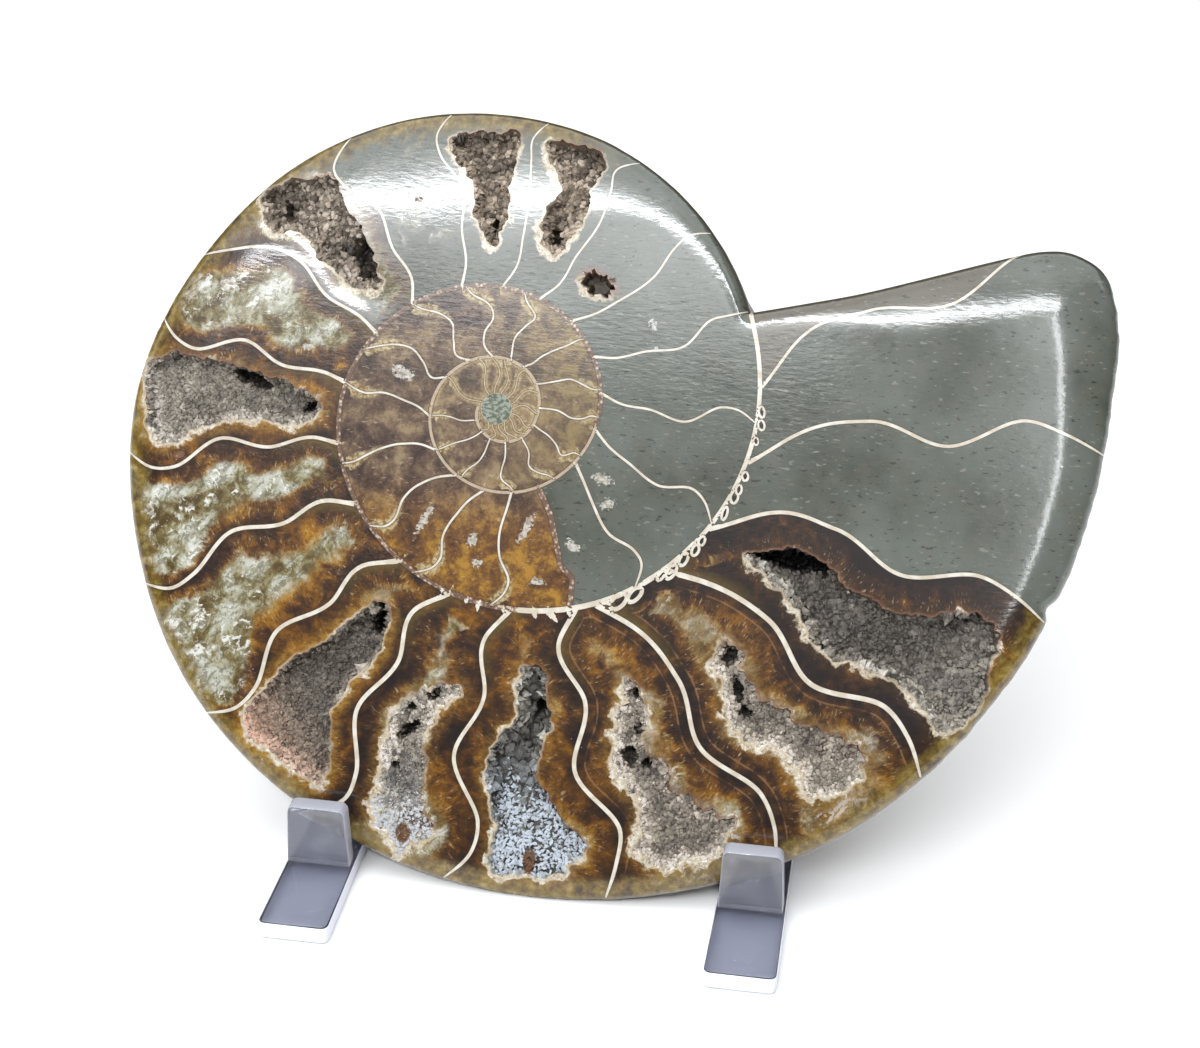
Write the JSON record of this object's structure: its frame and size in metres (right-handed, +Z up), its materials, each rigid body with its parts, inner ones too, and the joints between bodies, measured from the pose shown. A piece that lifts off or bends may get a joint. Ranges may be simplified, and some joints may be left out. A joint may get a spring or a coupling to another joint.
{
  "type": "ammonite fossil half on an acrylic easel",
  "caption": "Polished half of an ammonite fossil, with cream chamber walls, amber spar and open crystal-lined hollows, leaning on a clear acrylic easel.",
  "frame": {"origin": "On the table, under the middle of the object's bounding box.", "axes": "+Z up, -Y towards the viewer of the polished face, +X to the viewer's right, towards the broken open end of the last whorl."},
  "size_m": [0.1583, 0.0836, 0.1125],
  "materials": {
    "fossil": "polished",
    "crystal_crust": "rough",
    "acrylic": "clear"
  },
  "bodies": {
    "root": {"ammonite_half": "fossil", "crystal_crust_upper_left": "crystal_crust", "crystal_crust_left": "crystal_crust", "crystal_crust_top_left": "crystal_crust", "crystal_crust_top_right": "crystal_crust", "crystal_crust_lower_left": "crystal_crust", "crystal_crust_bottom_left": "crystal_crust", "crystal_crust_bottom": "crystal_crust", "crystal_crust_lower_middle": "crystal_crust", "crystal_crust_lower_right": "crystal_crust", "crystal_crust_right": "crystal_crust", "foot_left": "acrylic", "foot_right": "acrylic", "lip_left": "acrylic", "lip_right": "acrylic", "back_panel": "acrylic", "rear_leg": "acrylic"}
  },
  "joints": []
}
